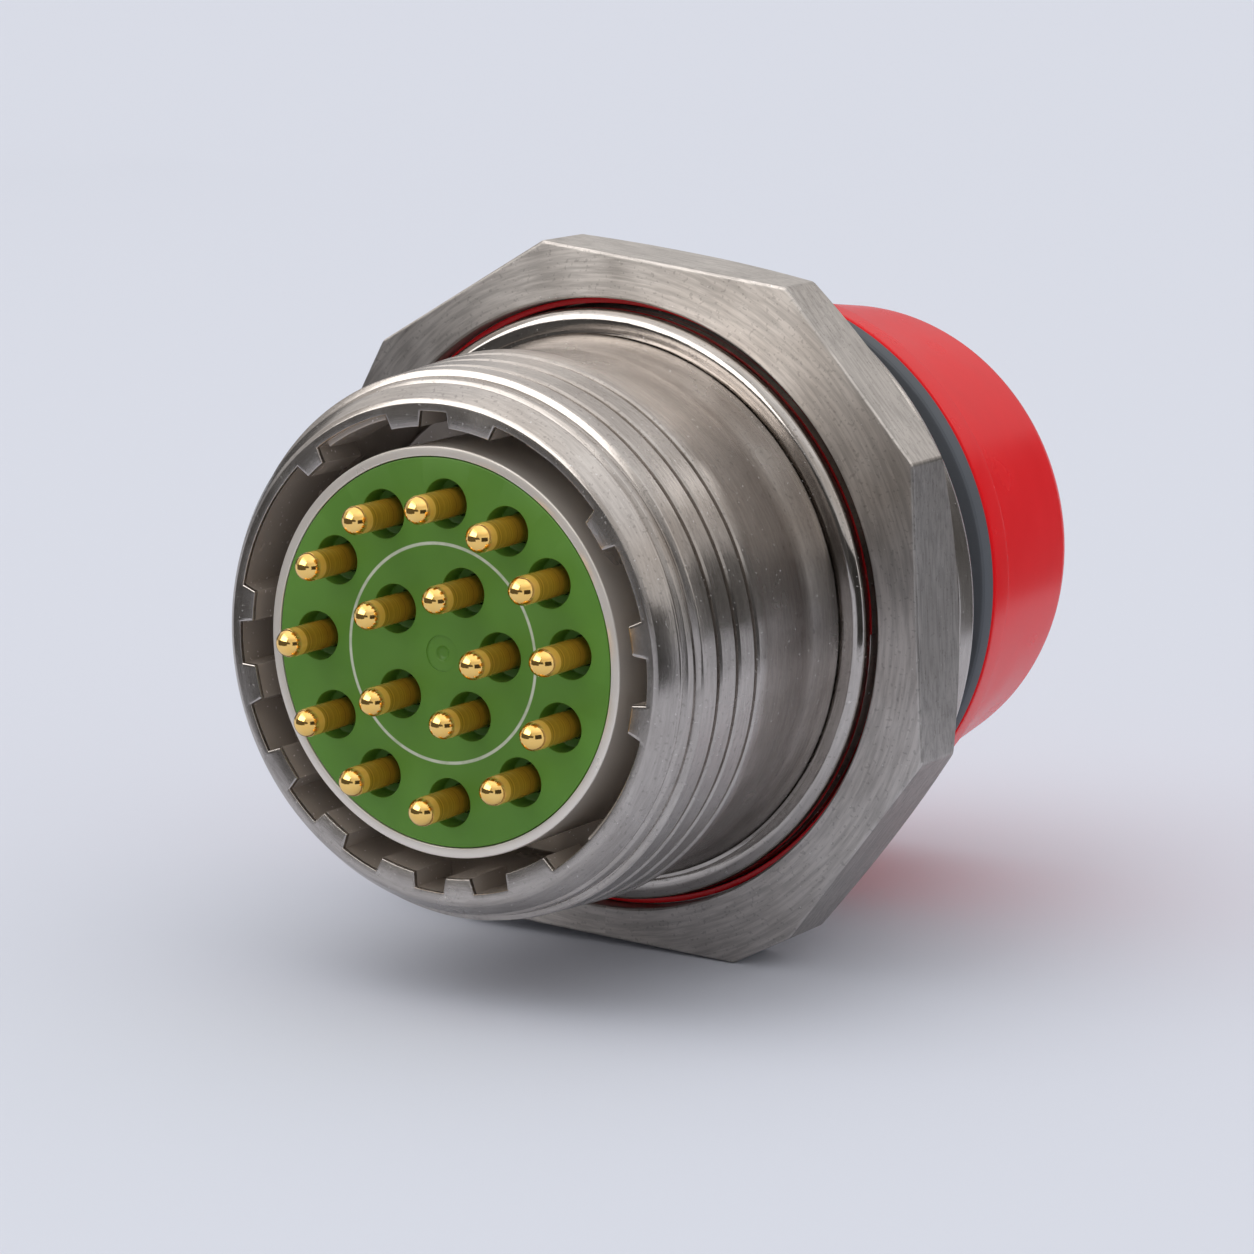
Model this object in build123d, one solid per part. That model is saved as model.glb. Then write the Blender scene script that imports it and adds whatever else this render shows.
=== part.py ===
"""Jam-nut receptacle with seventeen pin contacts and a push-on rear dust cap.

Everything is turned about the Y axis. The mating front looks along -Y, +Z is up, and Y is zero at the
panel seat, the front face of the shell's flange. Angles on the face are clock angles: degrees from +Z,
clockwise as seen from the mating front.
"""
from build123d import *
import math
import os

# Clearance where one piece slides into another
FIT = 0.05
CUT_OVERRUN = 1.0

# Insert pack, from the axis outward and from its face backward
INSERT_RADIUS = 10.6
SLEEVE_WALL = 0.55
SLEEVE_SEAT = 18.0
SLEEVE_FLANGE = 1.6
PACK_STEP = 1.0
INSERT_FLANGE = 2.3
DISC_THICKNESS = 3.9
GROMMET_LENGTH = 10.3
CAVITY_COUNTERBORE_RADIUS = 1.33
CAVITY_COUNTERBORE_DEPTH = 1.4
GATE_MARK_RADIUS = 1.0
GATE_MARK_DEPTH = 0.08
GATE_DIMPLE_RADIUS = 0.42
GATE_DIMPLE_DEPTH = 0.25

# Keyed rim: gap round the sleeve, key and land heights, and the wall outside the keyways
KEY_GAP = 1.05
KEY_HEIGHT = 0.85
KEY_DEPTH = 3.6
KEY_TAPER_ANGLE = 1.0
LAND_HEIGHT = 0.25
LAND_SETBACK = 0.5
RIM_WALL = 0.6
RIM_AHEAD = 0.4
RIM_EDGE_BREAK = 0.15
CAVITY_DEPTH = 10.5
KEY_ANGLES = ((2.5, 16.6), (48.4, 58.6), (76.2, 85.6), (95.8, 105.0), (146.0, 160.8), (169.9, 179.3),
              (186.8, 199.0), (208.8, 219.4), (228.9, 240.2), (251.6, 262.4), (271.9, 281.7),
              (315.8, 323.9), (345.3, 355.8))
LAND_ANGLES = ((24.7, 48.4), (105.0, 134.7), (325.5, 344.0))

# Coupling thread: lead-in bevel, plain ledge, second bevel up to the crest, and the run-out over the neck
LEAD_IN_RISE = 0.75
LEAD_IN_ANGLE = 33.0
LEDGE_LENGTH = 0.5
THREAD_RISE = 0.95
THREAD_RISE_ANGLE = 43.0
THREAD_REACH = 8.15
THREAD_PITCH = 1.75
THREAD_DEPTH = 0.42
THREAD_START_CLOCK = 28.0
GROOVE_TOP = 0.42
GROOVE_ROOT = 0.16
THREAD_STEP = 0.25

# Neck, flare, seam and bead between the coupling thread and the mounting thread
NECK_DROP = 0.47
NECK_LENGTH = 5.25
COVE_RADIUS = 4.9
FLARE_RISE = 0.62
FLARE_LENGTH = 2.45
SEAM_WIDTH = 0.2
SEAM_DEPTH = 0.35
BEAD_HEIGHT = 0.75
BEAD_ROLL_RADIUS = 0.72
BEAD_BACK = 0.4
BEAD_BELOW_THREAD = 0.08

# Mounting thread, flange and its seal
MOUNT_STEP = 1.6
MOUNT_THREAD_LENGTH = 5.4
MOUNT_RELIEF = 0.4
FLANGE_REACH = 2.0
FLANGE_THICKNESS = 2.6
FLANGE_CHAMFER = 0.3
SEAL_OUT = 0.85
SEAL_SECTION = 1.0
SEAL_PROUD = 0.2
SEAL_GAP = 0.03

# Barrel behind the flange, and the tail that runs past the retaining ring
BARREL_DROP = 1.3
BARREL_LENGTH = 5.1
TAIL_WALL = 1.3
TAIL_CHAMFER = 0.6
TAIL_PAST_RING = 3.2

# Jam nut: clock angle of each flat, and the wall between that flat and the mounting thread
NUT_FLAT_ANGLES = (6.3, 48.8, 87.2, 127.2, 152.0, 182.5, 227.0, 265.0, 298.6, 329.9)
NUT_FLAT_WALLS = (2.95, 4.1, 3.05, 3.4, 4.35, 2.3, 3.2, 3.0, 3.1, 2.85)
PANEL_ROOM = 1.95
NUT_THICKNESS = 4.8
NUT_EDGE_BREAK = 0.22
NUT_CORNER_RADIUS = 0.35
NUT_CHAMFER_WALL = 3.0
NUT_CHAMFER_ANGLE = 38.0
NUT_COUNTERBORE_STEP = 0.4
NUT_COUNTERBORE_DEPTH = 1.5
THREAD_CLEARANCE = 0.08

# Red band ring that rides in the nut's counterbore
BAND_RECESS = 0.9
BAND_WIDTH = 0.55
BAND_CLEARANCE = 0.06

# Retaining ring behind the grommet
RING_WIDTH = 1.0
RING_DEPTH = 0.55
RING_REACH = 1.0
RING_GAP_CLOCK_ANGLE = 180.0
RING_GAP_ANGLE = 46.0

# Contacts: each row by the clock angles of its pins
OUTER_ROW_INSET = 2.45
OUTER_ROW_ANGLES = (2.2, 30.9, 56.9, 84.6, 113.3, 142.6, 177.1, 210.3, 239.8, 271.2, 303.2, 332.8)
INNER_ROW_RADIUS = 3.7
INNER_ROW_ANGLES = (22.1, 87.4, 151.6, 227.6, 305.6)
PIN_RADIUS = 0.79
PIN_AHEAD = 3.3
PIN_LENGTH = 12.3
PIN_CLEARANCE = 0.06
CONTACT_BODY_STEP = 0.41
CLIP_GROOVE_DEPTH = 0.3
CRIMP_BARREL_LENGTH = 7.2
CRIMP_WALL = 0.45
CRIMP_BORE_DEPTH = 6.0
WIRE_HOLE_RADIUS = 0.9

# Retention clips
CLIP_WALL = 0.45
CLIP_LENGTH = 3.4
CLIP_SLOT = 0.5
CLIP_PLAY = 0.45

# Rear seal ring and dust cap
REAR_SEAL_HEIGHT = 3.0
REAR_SEAL_WIDTH = 1.15
REAR_SEAL_CHAMFER = 0.3
CAP_GAP = 0.05
CAP_BORE_CLEARANCE = 0.08
CAP_WALL = 2.07
CAP_LIP_STEP = 0.9
CAP_LIP_WIDTH = 2.6
CAP_LIP_DRAFT = 0.35
CAP_DRAFT = 1.0
CAP_ROOM_PAST_TAIL = 5.45
CAP_EDGE_RADIUS = 2.6
CAP_END_WALL = 2.0

# Radii that build outward from the insert
sleeve_radius = INSERT_RADIUS + FIT + SLEEVE_WALL
shell_bore_radius = sleeve_radius + FIT
pack_radius = sleeve_radius + PACK_STEP
pack_bore_radius = pack_radius + 2 * FIT
key_radius = sleeve_radius + KEY_GAP
keyway_radius = key_radius + KEY_HEIGHT
land_radius = keyway_radius - LAND_HEIGHT
rim_radius = keyway_radius + RIM_WALL
ledge_radius = rim_radius + LEAD_IN_RISE
crest_radius = ledge_radius + THREAD_RISE
neck_radius = crest_radius - NECK_DROP
shoulder_radius = neck_radius + FLARE_RISE
mount_radius = crest_radius + MOUNT_STEP
bead_radius = mount_radius - BEAD_BELOW_THREAD
flange_radius = mount_radius + FLANGE_REACH
seal_radius = mount_radius + SEAL_OUT
barrel_radius = mount_radius - BARREL_DROP
tail_radius = pack_bore_radius + TAIL_WALL
nut_bore_radius = mount_radius + THREAD_CLEARANCE
nut_counterbore_radius = nut_bore_radius + NUT_COUNTERBORE_STEP
nut_chamfer_radius = mount_radius + NUT_CHAMFER_WALL
ring_inner_radius = pack_bore_radius - RING_REACH
outer_row_radius = INSERT_RADIUS - OUTER_ROW_INSET
contact_radius = PIN_RADIUS + CONTACT_BODY_STEP
contact_hole_radius = contact_radius + PIN_CLEARANCE
crimp_bore_radius = contact_radius - CRIMP_WALL
clip_groove_radius = contact_radius - CLIP_GROOVE_DEPTH
clip_inner_radius = clip_groove_radius + PIN_CLEARANCE
clip_outer_radius = clip_inner_radius + CLIP_WALL
clip_hole_radius = clip_outer_radius + PIN_CLEARANCE
rear_seal_radius = tail_radius + REAR_SEAL_HEIGHT
cap_bore_radius = tail_radius + CAP_BORE_CLEARANCE
cap_body_radius = cap_bore_radius + CAP_WALL
cap_lip_radius = cap_body_radius + CAP_LIP_STEP
cap_tail_radius = cap_body_radius - CAP_DRAFT

# Stations along the axis; every y is a distance behind the panel seat
bead_back_y = -MOUNT_THREAD_LENGTH - 2 * MOUNT_RELIEF
shoulder_y = bead_back_y - BEAD_BACK - BEAD_HEIGHT
neck_end_y = shoulder_y - FLARE_LENGTH
thread_end_y = neck_end_y - NECK_LENGTH
face_y = thread_end_y - THREAD_REACH
rim_y = face_y - RIM_AHEAD
cavity_y = face_y + CAVITY_DEPTH
sleeve_seat_y = face_y + SLEEVE_SEAT
insert_flange_y = sleeve_seat_y + SLEEVE_FLANGE + FIT
disc_y = insert_flange_y + INSERT_FLANGE + FIT
grommet_y = disc_y + DISC_THICKNESS + FIT
ring_y = grommet_y + GROMMET_LENGTH + FIT
ring_groove_end_y = ring_y + RING_WIDTH + 2 * FIT
shell_end_y = ring_groove_end_y + TAIL_PAST_RING
nut_back_y = -PANEL_ROOM
nut_front_y = nut_back_y - NUT_THICKNESS
barrel_end_y = FLANGE_THICKNESS + BARREL_LENGTH
tip_y = face_y - PIN_AHEAD
contact_shoulder_y = tip_y + PIN_LENGTH
clip_y = disc_y + PIN_CLEARANCE
clip_end_y = clip_y + CLIP_LENGTH
clip_groove_y = clip_y - CLIP_PLAY
crimp_y = clip_end_y + CLIP_PLAY
contact_end_y = crimp_y + CRIMP_BARREL_LENGTH
rear_seal_y = barrel_end_y + FIT
cap_y = rear_seal_y + REAR_SEAL_WIDTH + CAP_GAP
cap_bore_end_y = shell_end_y + CAP_ROOM_PAST_TAIL
cap_end_y = cap_bore_end_y + CAP_END_WALL


def on_face(radius, clock):
    """X and Z of a point at a clock angle."""
    angle = math.radians(clock)
    return radius * math.sin(angle), radius * math.cos(angle)


def station(y):
    """Plane square to the axis, with local x along X, local y along Z and its normal to the front."""
    return Plane.XZ.offset(-y)


def drum(radius, y_front, y_back):
    """Plain cylinder on the axis."""
    return extrude(station(y_front) * Circle(radius), amount=y_front - y_back)


def tube(outer, inner, y_front, y_back):
    """Plain ring on the axis."""
    return drum(outer, y_front, y_back) - drum(inner, y_front, y_back)


def section(points):
    """Half-section face from (radius, y) corners."""
    return make_face(Polyline(*points, close=True))


def turned(face):
    """Solid of revolution about the axis."""
    return revolve(face, axis=Axis.Y)


def corner(face, radius, y):
    """The vertex of a half-section that lies at a radius and a y."""
    return face.vertices().sort_by_distance(Vector(radius, y, 0))[0]


def contact_places():
    """Clock position of each contact as (x, z), outer row first."""
    outer = [on_face(outer_row_radius, clock) for clock in OUTER_ROW_ANGLES]
    inner = [on_face(INNER_ROW_RADIUS, clock) for clock in INNER_ROW_ANGLES]
    return outer + inner


def contact_holes(radius, y_front, y_back):
    """One hole for each contact."""
    circles = Sketch() + [Pos(x, z) * Circle(radius) for x, z in contact_places()]
    return extrude(station(y_front) * circles, amount=y_front - y_back)


def sector(inner, outer, start, end, taper):
    """Ring sector between two clock angles, narrower at its inner edge."""
    half = (start + end) / 2
    inner_arc = ThreePointArc(on_face(inner, start + taper), on_face(inner, half), on_face(inner, end - taper))
    outer_arc = ThreePointArc(on_face(outer, start), on_face(outer, half), on_face(outer, end))
    first_flank = Line(inner_arc @ 0, outer_arc @ 0)
    last_flank = Line(inner_arc @ 1, outer_arc @ 1)
    return make_face([inner_arc, last_flank, outer_arc, first_flank])


def shell_outside():
    """Turned outer form, from the rim to the tail, solid to the axis."""
    slope = math.tan(math.radians(LEAD_IN_ANGLE))
    ledge_y = rim_y + LEAD_IN_RISE / slope
    ledge_end_y = ledge_y + LEDGE_LENGTH
    crest_y = ledge_end_y + THREAD_RISE / math.tan(math.radians(THREAD_RISE_ANGLE))
    relief_radius = mount_radius - MOUNT_RELIEF
    face = section([
        (0, rim_y),
        (rim_radius - RIM_EDGE_BREAK, rim_y),
        (rim_radius + RIM_EDGE_BREAK * slope, rim_y + RIM_EDGE_BREAK),
        (ledge_radius, ledge_y),
        (ledge_radius, ledge_end_y),
        (crest_radius, crest_y),
        (crest_radius, thread_end_y),
        (neck_radius, thread_end_y + THREAD_STEP),
        (neck_radius, neck_end_y),
        (shoulder_radius, shoulder_y),
        (shoulder_radius, shoulder_y + SEAM_DEPTH),
        (shoulder_radius + SEAM_WIDTH, shoulder_y + SEAM_DEPTH),
        (shoulder_radius + SEAM_WIDTH, shoulder_y),
        (bead_radius, shoulder_y),
        (bead_radius, bead_back_y),
        (relief_radius, bead_back_y + MOUNT_RELIEF),
        (mount_radius, bead_back_y + 2 * MOUNT_RELIEF),
        (mount_radius, 0),
        (flange_radius - FLANGE_CHAMFER, 0),
        (flange_radius, FLANGE_CHAMFER),
        (flange_radius, FLANGE_THICKNESS - FLANGE_CHAMFER),
        (flange_radius - FLANGE_CHAMFER, FLANGE_THICKNESS),
        (barrel_radius, FLANGE_THICKNESS),
        (barrel_radius, barrel_end_y),
        (tail_radius, barrel_end_y),
        (tail_radius, shell_end_y - TAIL_CHAMFER),
        (tail_radius - TAIL_CHAMFER, shell_end_y),
        (0, shell_end_y),
    ])
    face = fillet(corner(face, bead_radius, shoulder_y), BEAD_ROLL_RADIUS)
    face = fillet(corner(face, neck_radius, neck_end_y), COVE_RADIUS)
    return turned(face)


def shell_inside():
    """Everything bored out of the shell from its two ends."""
    front = drum(keyway_radius, rim_y, cavity_y)
    middle = drum(shell_bore_radius, cavity_y, sleeve_seat_y)
    rear = drum(pack_bore_radius, sleeve_seat_y, shell_end_y)
    groove = drum(pack_bore_radius + RING_DEPTH, ring_y, ring_groove_end_y)
    return front + middle + rear + groove


def key_set():
    """Polarising keys that stand inward from the rim, and the low lands between some of them."""
    wall = (keyway_radius + rim_radius) / 2
    keys = Sketch() + [sector(key_radius, wall, start, end, KEY_TAPER_ANGLE) for start, end in KEY_ANGLES]
    lands = Sketch() + [sector(land_radius, wall, start, end, 0) for start, end in LAND_ANGLES]
    teeth = extrude(station(rim_y) * keys, amount=-KEY_DEPTH)
    ledges = extrude(station(rim_y + LAND_SETBACK) * lands, amount=LAND_SETBACK - KEY_DEPTH)
    return teeth + ledges


def coupling_groove():
    """Helical cut that leaves the flat-crested coupling thread."""
    run = RIM_AHEAD + THREAD_REACH
    root = crest_radius - THREAD_DEPTH
    above = crest_radius + THREAD_DEPTH
    path = Helix(pitch=THREAD_PITCH, height=run, radius=root)
    half_root = GROOVE_ROOT / 2
    half_above = GROOVE_TOP - half_root
    profile = Plane.XZ * make_face(Polyline(
        (root, -half_root), (above, -half_above), (above, half_above), (root, half_root), close=True))
    cut = sweep(profile, path=path, is_frenet=True)
    return Pos(0, rim_y, 0) * Rot(-90, 0, 0) * Rot(0, 0, THREAD_START_CLOCK - 90) * cut


def shell():
    """Shell: keyed rim, coupling thread, neck, bead, mounting thread, flange and tail in one piece."""
    body = shell_outside() - coupling_groove()
    body -= shell_inside()
    body += key_set()
    seal_depth = SEAL_SECTION - SEAL_PROUD + SEAL_GAP
    seal_half = SEAL_SECTION / 2 + SEAL_GAP
    return body - tube(seal_radius + seal_half, seal_radius - seal_half, 0, seal_depth)


def panel_seal():
    """O-ring in the flange's groove."""
    centre_y = SEAL_SECTION / 2 - SEAL_PROUD
    return turned(Pos(seal_radius, centre_y) * Circle(SEAL_SECTION / 2))


def insert_sleeve():
    """Thin metal sleeve round the insert, with the flange that seats it in the shell."""
    bore = INSERT_RADIUS + FIT
    sleeve = tube(sleeve_radius, bore, face_y, sleeve_seat_y)
    flange = tube(pack_radius, bore, sleeve_seat_y, sleeve_seat_y + SLEEVE_FLANGE)
    return sleeve + flange


def front_insert():
    """Green insulator with a counterbored cavity for each pin and a gate mark in the middle."""
    body = drum(INSERT_RADIUS, face_y, insert_flange_y)
    body += drum(pack_radius, insert_flange_y, insert_flange_y + INSERT_FLANGE)
    body -= contact_holes(PIN_RADIUS + PIN_CLEARANCE, face_y, contact_shoulder_y)
    body -= contact_holes(CAVITY_COUNTERBORE_RADIUS, face_y, face_y + CAVITY_COUNTERBORE_DEPTH)
    body -= contact_holes(contact_hole_radius, contact_shoulder_y, insert_flange_y + INSERT_FLANGE)
    body -= drum(GATE_MARK_RADIUS, face_y, face_y + GATE_MARK_DEPTH)
    return body - drum(GATE_DIMPLE_RADIUS, face_y, face_y + GATE_DIMPLE_DEPTH)


def retention_disc():
    """Hard disc whose holes hold the retention clips."""
    back_y = disc_y + DISC_THICKNESS
    lip_y = clip_end_y + PIN_CLEARANCE
    body = drum(pack_radius, disc_y, back_y)
    body -= contact_holes(clip_hole_radius, disc_y, lip_y)
    return body - contact_holes(contact_hole_radius, lip_y, back_y)


def rear_grommet():
    """Rubber grommet that seals round each wire."""
    back_y = grommet_y + GROMMET_LENGTH
    body = drum(pack_radius, grommet_y, back_y)
    body -= contact_holes(contact_hole_radius, grommet_y, contact_end_y + PIN_CLEARANCE)
    return body - contact_holes(WIRE_HOLE_RADIUS, contact_end_y, back_y)


def retaining_ring():
    """Open spring ring that locks the insert pack in the shell."""
    outer = pack_bore_radius + RING_DEPTH - FIT
    front = ring_y + FIT
    ring = tube(outer, ring_inner_radius, front, front + RING_WIDTH)
    start = RING_GAP_CLOCK_ANGLE - RING_GAP_ANGLE / 2
    end = RING_GAP_CLOCK_ANGLE + RING_GAP_ANGLE / 2
    gap = sector(ring_inner_radius - CUT_OVERRUN, outer + CUT_OVERRUN, start, end, 0)
    return ring - extrude(station(front) * gap, amount=-RING_WIDTH)


def retention_clips():
    """Slit tubular spring clip round each contact."""
    clips = contact_holes(clip_outer_radius, clip_y, clip_end_y)
    clips -= contact_holes(clip_inner_radius, clip_y, clip_end_y)
    reach = clip_hole_radius
    slots = Sketch() + [Pos(x, z + reach / 2) * Rectangle(CLIP_SLOT, reach) for x, z in contact_places()]
    return clips - extrude(station(clip_y) * slots, amount=-CLIP_LENGTH)


def contact():
    """Round-nosed crimp pin on the axis."""
    nose = ThreePointArc(
        (0, tip_y),
        (PIN_RADIUS * math.sin(math.pi / 4), tip_y + PIN_RADIUS * (1 - math.cos(math.pi / 4))),
        (PIN_RADIUS, tip_y + PIN_RADIUS))
    lead = contact_radius - PIN_RADIUS
    flanks = Polyline(
        (PIN_RADIUS, tip_y + PIN_RADIUS),
        (PIN_RADIUS, contact_shoulder_y),
        (contact_radius, contact_shoulder_y + lead),
        (contact_radius, clip_groove_y),
        (clip_groove_radius, clip_groove_y),
        (clip_groove_radius, crimp_y),
        (contact_radius, crimp_y),
        (contact_radius, contact_end_y),
        (crimp_bore_radius, contact_end_y),
        (crimp_bore_radius, contact_end_y - CRIMP_BORE_DEPTH),
        (0, contact_end_y - CRIMP_BORE_DEPTH),
        (0, tip_y))
    return turned(make_face([nose, flanks]))


def nut_outline():
    """Closed outline through the corners where neighbouring flats meet."""
    clocks = [math.radians(clock) for clock in NUT_FLAT_ANGLES]
    distances = [mount_radius + wall for wall in NUT_FLAT_WALLS]
    corners = []
    for index, (a, distance) in enumerate(zip(clocks, distances)):
        after = (index + 1) % len(clocks)
        b = clocks[after]
        turn = math.sin(b - a)
        x = (distances[after] * math.cos(a) - distance * math.cos(b)) / turn
        z = (distance * math.sin(b) - distances[after] * math.sin(a)) / turn
        corners.append((x, z))
    face = make_face(Polyline(*corners, close=True))
    return fillet(face.vertices(), NUT_CORNER_RADIUS)


def jam_nut():
    """Many-sided nut with a turned rear chamfer, a counterbored front and a plain threaded bore."""
    blank = extrude(station(nut_front_y) * nut_outline(), amount=-NUT_THICKNESS)
    front_edges = blank.faces().sort_by(Axis.Y)[0].edges()
    blank = chamfer(front_edges, NUT_EDGE_BREAK)
    slope = math.tan(math.radians(NUT_CHAMFER_ANGLE))
    foot_radius = nut_chamfer_radius + (NUT_THICKNESS + CUT_OVERRUN) / slope
    envelope = turned(section([
        (0, nut_front_y - CUT_OVERRUN),
        (foot_radius, nut_front_y - CUT_OVERRUN),
        (nut_chamfer_radius, nut_back_y),
        (0, nut_back_y)]))
    counterbore_end = nut_front_y + NUT_COUNTERBORE_DEPTH
    blank = blank & envelope
    blank -= drum(nut_bore_radius, nut_front_y, nut_back_y)
    return blank - drum(nut_counterbore_radius, nut_front_y, counterbore_end)


def band_ring():
    """Red ring between the bead and the nut's counterbore."""
    front = nut_front_y + BAND_RECESS
    outer = nut_counterbore_radius - BAND_CLEARANCE
    return tube(outer, nut_bore_radius, front, front + BAND_WIDTH)


def rear_seal_ring():
    """Rubber ring on the tail, against the end of the barrel."""
    back = rear_seal_y + REAR_SEAL_WIDTH
    face = section([
        (tail_radius + FIT, rear_seal_y),
        (rear_seal_radius - REAR_SEAL_CHAMFER, rear_seal_y),
        (rear_seal_radius, rear_seal_y + REAR_SEAL_CHAMFER),
        (rear_seal_radius, back),
        (tail_radius + FIT, back)])
    return turned(face)


def dust_cap():
    """Moulded cap: a drafted cup with a thick lip and a rounded rear edge."""
    lip_y = cap_y + CAP_LIP_WIDTH
    face = section([
        (cap_bore_radius, cap_y),
        (cap_lip_radius, cap_y),
        (cap_lip_radius - CAP_LIP_DRAFT, lip_y),
        (cap_body_radius, lip_y),
        (cap_tail_radius, cap_end_y),
        (0, cap_end_y),
        (0, cap_bore_end_y),
        (cap_bore_radius, cap_bore_end_y)])
    face = fillet(corner(face, cap_tail_radius, cap_end_y), CAP_EDGE_RADIUS)
    return turned(face)


def pieces():
    """Every node by name."""
    made = {
        "shell": shell(),
        "panel_seal": panel_seal(),
        "jam_nut": jam_nut(),
        "band_ring": band_ring(),
        "insert_sleeve": insert_sleeve(),
        "front_insert": front_insert(),
        "retention_disc": retention_disc(),
        "retention_clips": retention_clips(),
        "rear_grommet": rear_grommet(),
        "retaining_ring": retaining_ring(),
        "rear_seal_ring": rear_seal_ring(),
        "dust_cap": dust_cap(),
    }
    pin = contact()
    for number, (x, z) in enumerate(contact_places(), start=1):
        made[f"contact_{number:02d}"] = Pos(x, 0, z) * pin
    return made


os.makedirs("parts", exist_ok=True)
for name, solid in pieces().items():
    export_step(solid, f"parts/{name}.step")
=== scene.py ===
"""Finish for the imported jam-nut receptacle: turned steel, a many-sided nut, gold pins, a red cap.

Outlines are given as on a drawing: corners of (radius, station, rounding) in millimetres, turned
about the Y axis. The mating front looks along -Y, and a station is a point's Y, zero at the
flange's front face. Clock angles are degrees from +Z, clockwise seen from the mating front.
"""
import math

import bmesh
import bpy
from bpy.props import FloatProperty, FloatVectorProperty, IntProperty, PointerProperty
from mathutils import Matrix, Vector


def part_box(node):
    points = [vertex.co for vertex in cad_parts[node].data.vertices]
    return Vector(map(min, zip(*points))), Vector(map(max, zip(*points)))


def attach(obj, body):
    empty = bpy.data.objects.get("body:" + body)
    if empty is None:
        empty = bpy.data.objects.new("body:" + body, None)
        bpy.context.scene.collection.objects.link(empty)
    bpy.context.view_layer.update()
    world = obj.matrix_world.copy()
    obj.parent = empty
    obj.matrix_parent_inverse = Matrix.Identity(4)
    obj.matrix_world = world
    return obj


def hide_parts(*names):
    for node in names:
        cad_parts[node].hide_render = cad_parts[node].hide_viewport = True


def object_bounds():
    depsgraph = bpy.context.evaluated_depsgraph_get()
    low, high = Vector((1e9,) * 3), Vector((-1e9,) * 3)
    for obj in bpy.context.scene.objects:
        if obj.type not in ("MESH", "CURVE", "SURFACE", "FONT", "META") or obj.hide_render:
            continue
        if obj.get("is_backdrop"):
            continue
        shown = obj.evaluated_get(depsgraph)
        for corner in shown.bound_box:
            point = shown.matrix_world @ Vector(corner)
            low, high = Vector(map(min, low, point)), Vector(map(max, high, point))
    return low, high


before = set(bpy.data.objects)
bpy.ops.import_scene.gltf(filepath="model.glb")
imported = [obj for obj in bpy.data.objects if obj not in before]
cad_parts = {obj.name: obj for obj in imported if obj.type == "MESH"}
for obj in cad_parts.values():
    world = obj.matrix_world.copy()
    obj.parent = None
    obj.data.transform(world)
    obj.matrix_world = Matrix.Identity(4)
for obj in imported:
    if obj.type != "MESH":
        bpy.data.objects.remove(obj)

bl_info = {
    "name": "Jam-nut receptacle",
    "version": (1, 0, 0),
    "blender": (4, 5, 0),
    "location": "3D View > Sidebar > Receptacle",
    "description": "Builds the finished pieces and materials of a jam-nut receptacle on its frame",
    "category": "Object",
}

MM = 0.001
CONTACTS = [f"contact_{number:02d}" for number in range(1, 18)]

# Clock angles of each key's two sides, and of the lands, the lower steps between some keys.
KEYS = ((2.5, 16.6), (48.4, 58.6), (76.2, 85.6), (95.8, 105.0), (146.0, 160.8), (169.9, 179.3),
        (186.8, 199.0), (208.8, 219.4), (228.9, 240.2), (251.6, 262.4), (271.9, 281.7),
        (315.8, 323.9), (345.3, 355.8))
LANDS = ((24.7, 48.4), (105.0, 134.7), (325.5, 344.0))

# Each flat of the nut: the clock angle that it faces, and its distance from the axis.
NUT_FLATS = ((6.3, 19.95), (48.8, 21.1), (87.2, 20.05), (127.2, 20.4), (152.0, 21.35),
             (182.5, 19.3), (227.0, 20.2), (265.0, 20.0), (298.6, 20.1), (329.9, 19.85))

# The coupling thread's crest rises from a front radius to a back one. Its front lies behind the
# rim by the lead, its back at a station, and its groove starts at a clock angle.
CREST_FRONT, CREST_BACK = 15.08, 15.5
CREST_LEAD, CREST_END = 2.42, -15.05
GROOVE_CLOCK, GROOVE_LENGTH = 357.0, 8.45

# The fine mounting thread: where its groove starts, how long it runs, and the bore that clears it.
MOUNT_START, MOUNT_LENGTH, CLEAR_BORE = -6.1, 6.0, 17.08

# The nut's turned rear chamfer: its slope in degrees, and its radius at the rear face.
CHAMFER_SLOPE, CHAMFER_RADIUS = 38, 20

INSERT_RADIUS = 10.6
CONTACT_STEP = -14.2     # station where contact and cavity change diameter
PIN_STEPS = 48           # flat steps round a pin or a cavity
OVERRUN = 1              # how far a cutting tool stands past the piece
SAME = 1e-7              # metres within which two points count as one
SHARP_ANGLE = 28.0       # degrees from which an edge is shaded sharp

# Patterns on turned metal, in millimetres: how far the marks drift in a turn, and the grain of
# the mottling, the pits and the glints, which are painted highlights. Real marks and pits are
# finer, and so are the specks of light that the glints stand for: these are drawn coarser, so
# that they don't vanish between the render's pixels.
MARK_DRIFT, CLOUD_GRAIN, PIT_GRAIN, PAINTED_GLINT_GRAIN = 1.6, 3.2, 0.22, 0.15
# The glint colour is near white: it paints small highlights into the metal's colour
PIT_COLOUR, PAINTED_GLINT_COLOUR = "#5A5551", "#F4F2F0"
SHEEN_SWING = 0.03       # how far the roughness strays to either side


# Sizes read from the frame

def span(node):
    """Front and back of a node along the axis, in millimetres."""
    low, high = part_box(node)
    return low.y / MM, high.y / MM


def reach(node):
    """Radius of a round node that is centred on the axis, in millimetres."""
    low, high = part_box(node)
    return (high.x - low.x) / 2 / MM


def middle(node):
    """X and Z of a node's middle, in millimetres."""
    low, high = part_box(node)
    return (low.x + high.x) / 2 / MM, (low.z + high.z) / 2 / MM


# Mesh making

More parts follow.
